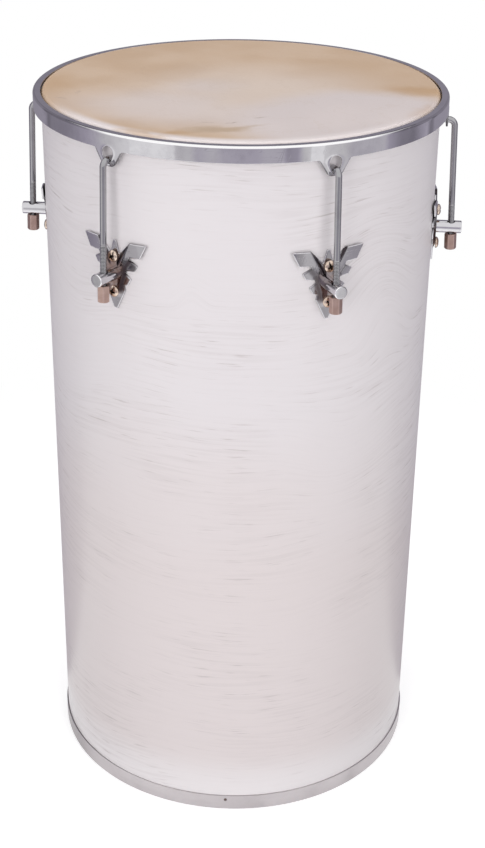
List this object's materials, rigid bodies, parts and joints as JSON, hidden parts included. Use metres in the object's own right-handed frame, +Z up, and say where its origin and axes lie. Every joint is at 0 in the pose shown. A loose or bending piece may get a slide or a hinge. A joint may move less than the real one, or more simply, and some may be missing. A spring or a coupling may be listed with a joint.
{
  "type": "tall open hand drum with a rod-tensioned hide head",
  "caption": "Tall cylindrical open-bottomed hand drum: white-laminated plywood shell, hide head, flanged chrome hoop with pierced ears, hook rods on star-plate lugs, metal base rim.",
  "frame": {"origin": "centre of the drum's base, on the plane that its rim stands on", "axes": "+Z up along the drum's axis to the playing head; -Y is the front, midway between two lugs; +X is through a lug"},
  "size_m": [0.3558, 0.3226, 0.5857],
  "materials": {
    "plywood": "bare bent plywood",
    "laminate": "white wood-grain embossed laminate, satin",
    "rim_metal": "satin",
    "nail": "darkened",
    "hide": "thin dry natural hide, satin",
    "steel_wire": "plain",
    "chrome_hoop": "bright",
    "chrome_rod": "bright",
    "chrome_post": "bright",
    "chrome_plate": "bright, slightly worn",
    "screw": "bright, copper-tinted",
    "zinc": "zinc-plated",
    "tension_nut": "copper-brown, tarnished"
  },
  "bodies": {
    "drum_body": {"shell": "plywood", "laminate": "laminate", "base_rim": "rim_metal", "rim_nail_1": "nail", "rim_nail_2": "nail", "rim_nail_3": "nail", "head_skin": "hide", "flesh_hoop": "steel_wire", "lug_plate_1": "chrome_plate", "lug_post_1": "chrome_post", "lug_screw_1_upper": "screw", "lug_screw_1_lower": "screw", "screw_nut_1_upper": "zinc", "screw_nut_1_lower": "zinc", "lug_plate_2": "chrome_plate", "lug_post_2": "chrome_post", "lug_screw_2_upper": "screw", "lug_screw_2_lower": "screw", "screw_nut_2_upper": "zinc", "screw_nut_2_lower": "zinc", "lug_plate_3": "chrome_plate", "lug_post_3": "chrome_post", "lug_screw_3_upper": "screw", "lug_screw_3_lower": "screw", "screw_nut_3_upper": "zinc", "screw_nut_3_lower": "zinc", "lug_plate_4": "chrome_plate", "lug_post_4": "chrome_post", "lug_screw_4_upper": "screw", "lug_screw_4_lower": "screw", "screw_nut_4_upper": "zinc", "screw_nut_4_lower": "zinc", "lug_plate_5": "chrome_plate", "lug_post_5": "chrome_post", "lug_screw_5_upper": "screw", "lug_screw_5_lower": "screw", "screw_nut_5_upper": "zinc", "screw_nut_5_lower": "zinc", "lug_plate_6": "chrome_plate", "lug_post_6": "chrome_post", "lug_screw_6_upper": "screw", "lug_screw_6_lower": "screw", "screw_nut_6_upper": "zinc", "screw_nut_6_lower": "zinc"},
    "hoop_body": {"counter_hoop": "chrome_hoop"},
    "rod_body_1": {"tension_rod_1": "chrome_rod"},
    "nut_body_1": {"tension_nut_1": "tension_nut"},
    "rod_body_2": {"tension_rod_2": "chrome_rod"},
    "nut_body_2": {"tension_nut_2": "tension_nut"},
    "rod_body_3": {"tension_rod_3": "chrome_rod"},
    "nut_body_3": {"tension_nut_3": "tension_nut"},
    "rod_body_4": {"tension_rod_4": "chrome_rod"},
    "nut_body_4": {"tension_nut_4": "tension_nut"},
    "rod_body_5": {"tension_rod_5": "chrome_rod"},
    "nut_body_5": {"tension_nut_5": "tension_nut"},
    "rod_body_6": {"tension_rod_6": "chrome_rod"},
    "nut_body_6": {"tension_nut_6": "tension_nut"}
  },
  "joints": [
    {"name": "hoop_slide", "type": "slide", "parent": "drum_body", "child": "hoop_body", "axis": [0, 0, 1], "range_m": [0, 0.008]},
    {"name": "rod_slide_1", "type": "slide", "parent": "drum_body", "child": "rod_body_1", "axis": [-0.0178, 0.0308, 0.9994], "range_m": [0, 0.008]},
    {"name": "nut_turn_1", "type": "hinge", "parent": "drum_body", "child": "nut_body_1", "pos_m": [0.085, -0.14723, 0.46671], "axis": [0.0178, -0.0308, -0.9994], "range_deg": [0, 2725]},
    {"name": "rod_slide_2", "type": "slide", "parent": "drum_body", "child": "rod_body_2", "axis": [-0.0356, 0, 0.9994], "range_m": [0, 0.008]},
    {"name": "nut_turn_2", "type": "hinge", "parent": "drum_body", "child": "nut_body_2", "pos_m": [0.17001, 0, 0.46671], "axis": [0.0356, 0, -0.9994], "range_deg": [0, 2725]},
    {"name": "rod_slide_3", "type": "slide", "parent": "drum_body", "child": "rod_body_3", "axis": [-0.0178, -0.0308, 0.9994], "range_m": [0, 0.008]},
    {"name": "nut_turn_3", "type": "hinge", "parent": "drum_body", "child": "nut_body_3", "pos_m": [0.085, 0.14723, 0.46671], "axis": [0.0178, 0.0308, -0.9994], "range_deg": [0, 2725]},
    {"name": "rod_slide_4", "type": "slide", "parent": "drum_body", "child": "rod_body_4", "axis": [0.0178, -0.0308, 0.9994], "range_m": [0, 0.008]},
    {"name": "nut_turn_4", "type": "hinge", "parent": "drum_body", "child": "nut_body_4", "pos_m": [-0.085, 0.14723, 0.46671], "axis": [-0.0178, 0.0308, -0.9994], "range_deg": [0, 2725]},
    {"name": "rod_slide_5", "type": "slide", "parent": "drum_body", "child": "rod_body_5", "axis": [0.0356, 0, 0.9994], "range_m": [0, 0.008]},
    {"name": "nut_turn_5", "type": "hinge", "parent": "drum_body", "child": "nut_body_5", "pos_m": [-0.17001, 0, 0.46671], "axis": [-0.0356, 0, -0.9994], "range_deg": [0, 2725]},
    {"name": "rod_slide_6", "type": "slide", "parent": "drum_body", "child": "rod_body_6", "axis": [0.0178, 0.0308, 0.9994], "range_m": [0, 0.008]},
    {"name": "nut_turn_6", "type": "hinge", "parent": "drum_body", "child": "nut_body_6", "pos_m": [-0.085, -0.14723, 0.46671], "axis": [-0.0178, -0.0308, -0.9994], "range_deg": [0, 2725]}
  ],
  "couplings": [
    {"joint": "rod_slide_1", "follows": "hoop_slide", "ratio": 1},
    {"joint": "nut_turn_1", "follows": "hoop_slide", "rad_per_m": 5936.9},
    {"joint": "rod_slide_2", "follows": "hoop_slide", "ratio": 1},
    {"joint": "nut_turn_2", "follows": "hoop_slide", "rad_per_m": 5936.9},
    {"joint": "rod_slide_3", "follows": "hoop_slide", "ratio": 1},
    {"joint": "nut_turn_3", "follows": "hoop_slide", "rad_per_m": 5936.9},
    {"joint": "rod_slide_4", "follows": "hoop_slide", "ratio": 1},
    {"joint": "nut_turn_4", "follows": "hoop_slide", "rad_per_m": 5936.9},
    {"joint": "rod_slide_5", "follows": "hoop_slide", "ratio": 1},
    {"joint": "nut_turn_5", "follows": "hoop_slide", "rad_per_m": 5936.9},
    {"joint": "rod_slide_6", "follows": "hoop_slide", "ratio": 1},
    {"joint": "nut_turn_6", "follows": "hoop_slide", "rad_per_m": 5936.9}
  ]
}
